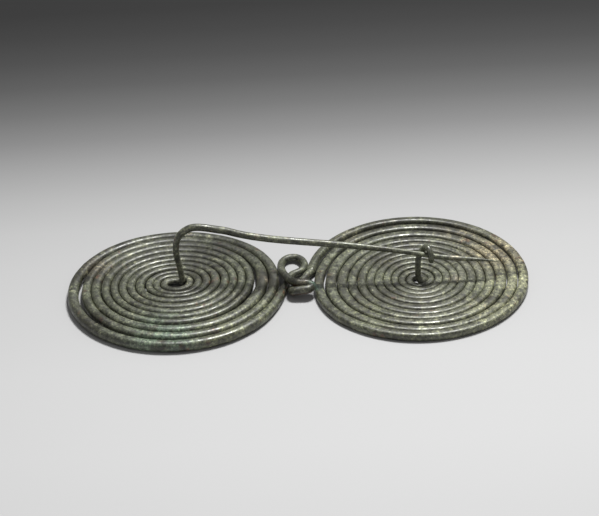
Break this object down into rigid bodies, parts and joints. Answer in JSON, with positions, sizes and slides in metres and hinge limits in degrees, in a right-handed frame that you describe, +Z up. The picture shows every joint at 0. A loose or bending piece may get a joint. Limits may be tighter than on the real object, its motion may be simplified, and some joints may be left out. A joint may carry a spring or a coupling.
{
  "type": "spectacle fibula brooch",
  "caption": "Ancient bronze spectacle fibula wound from one wire: two spiral discs, a figure-of-eight link, an arched pin and a hook catch.",
  "frame": {"origin": "on the surface it lies on, under the middle of the whole brooch", "axes": "+X from the disc with the pin's stem to the disc with the hook, +Z up from the front of the discs to the pin"},
  "size_m": [0.14, 0.0678, 0.0231],
  "materials": {
    "bronze": "grey-green patina, semi-gloss, worn"
  },
  "bodies": {
    "root": {"fibula_wire": "bronze"}
  },
  "joints": []
}
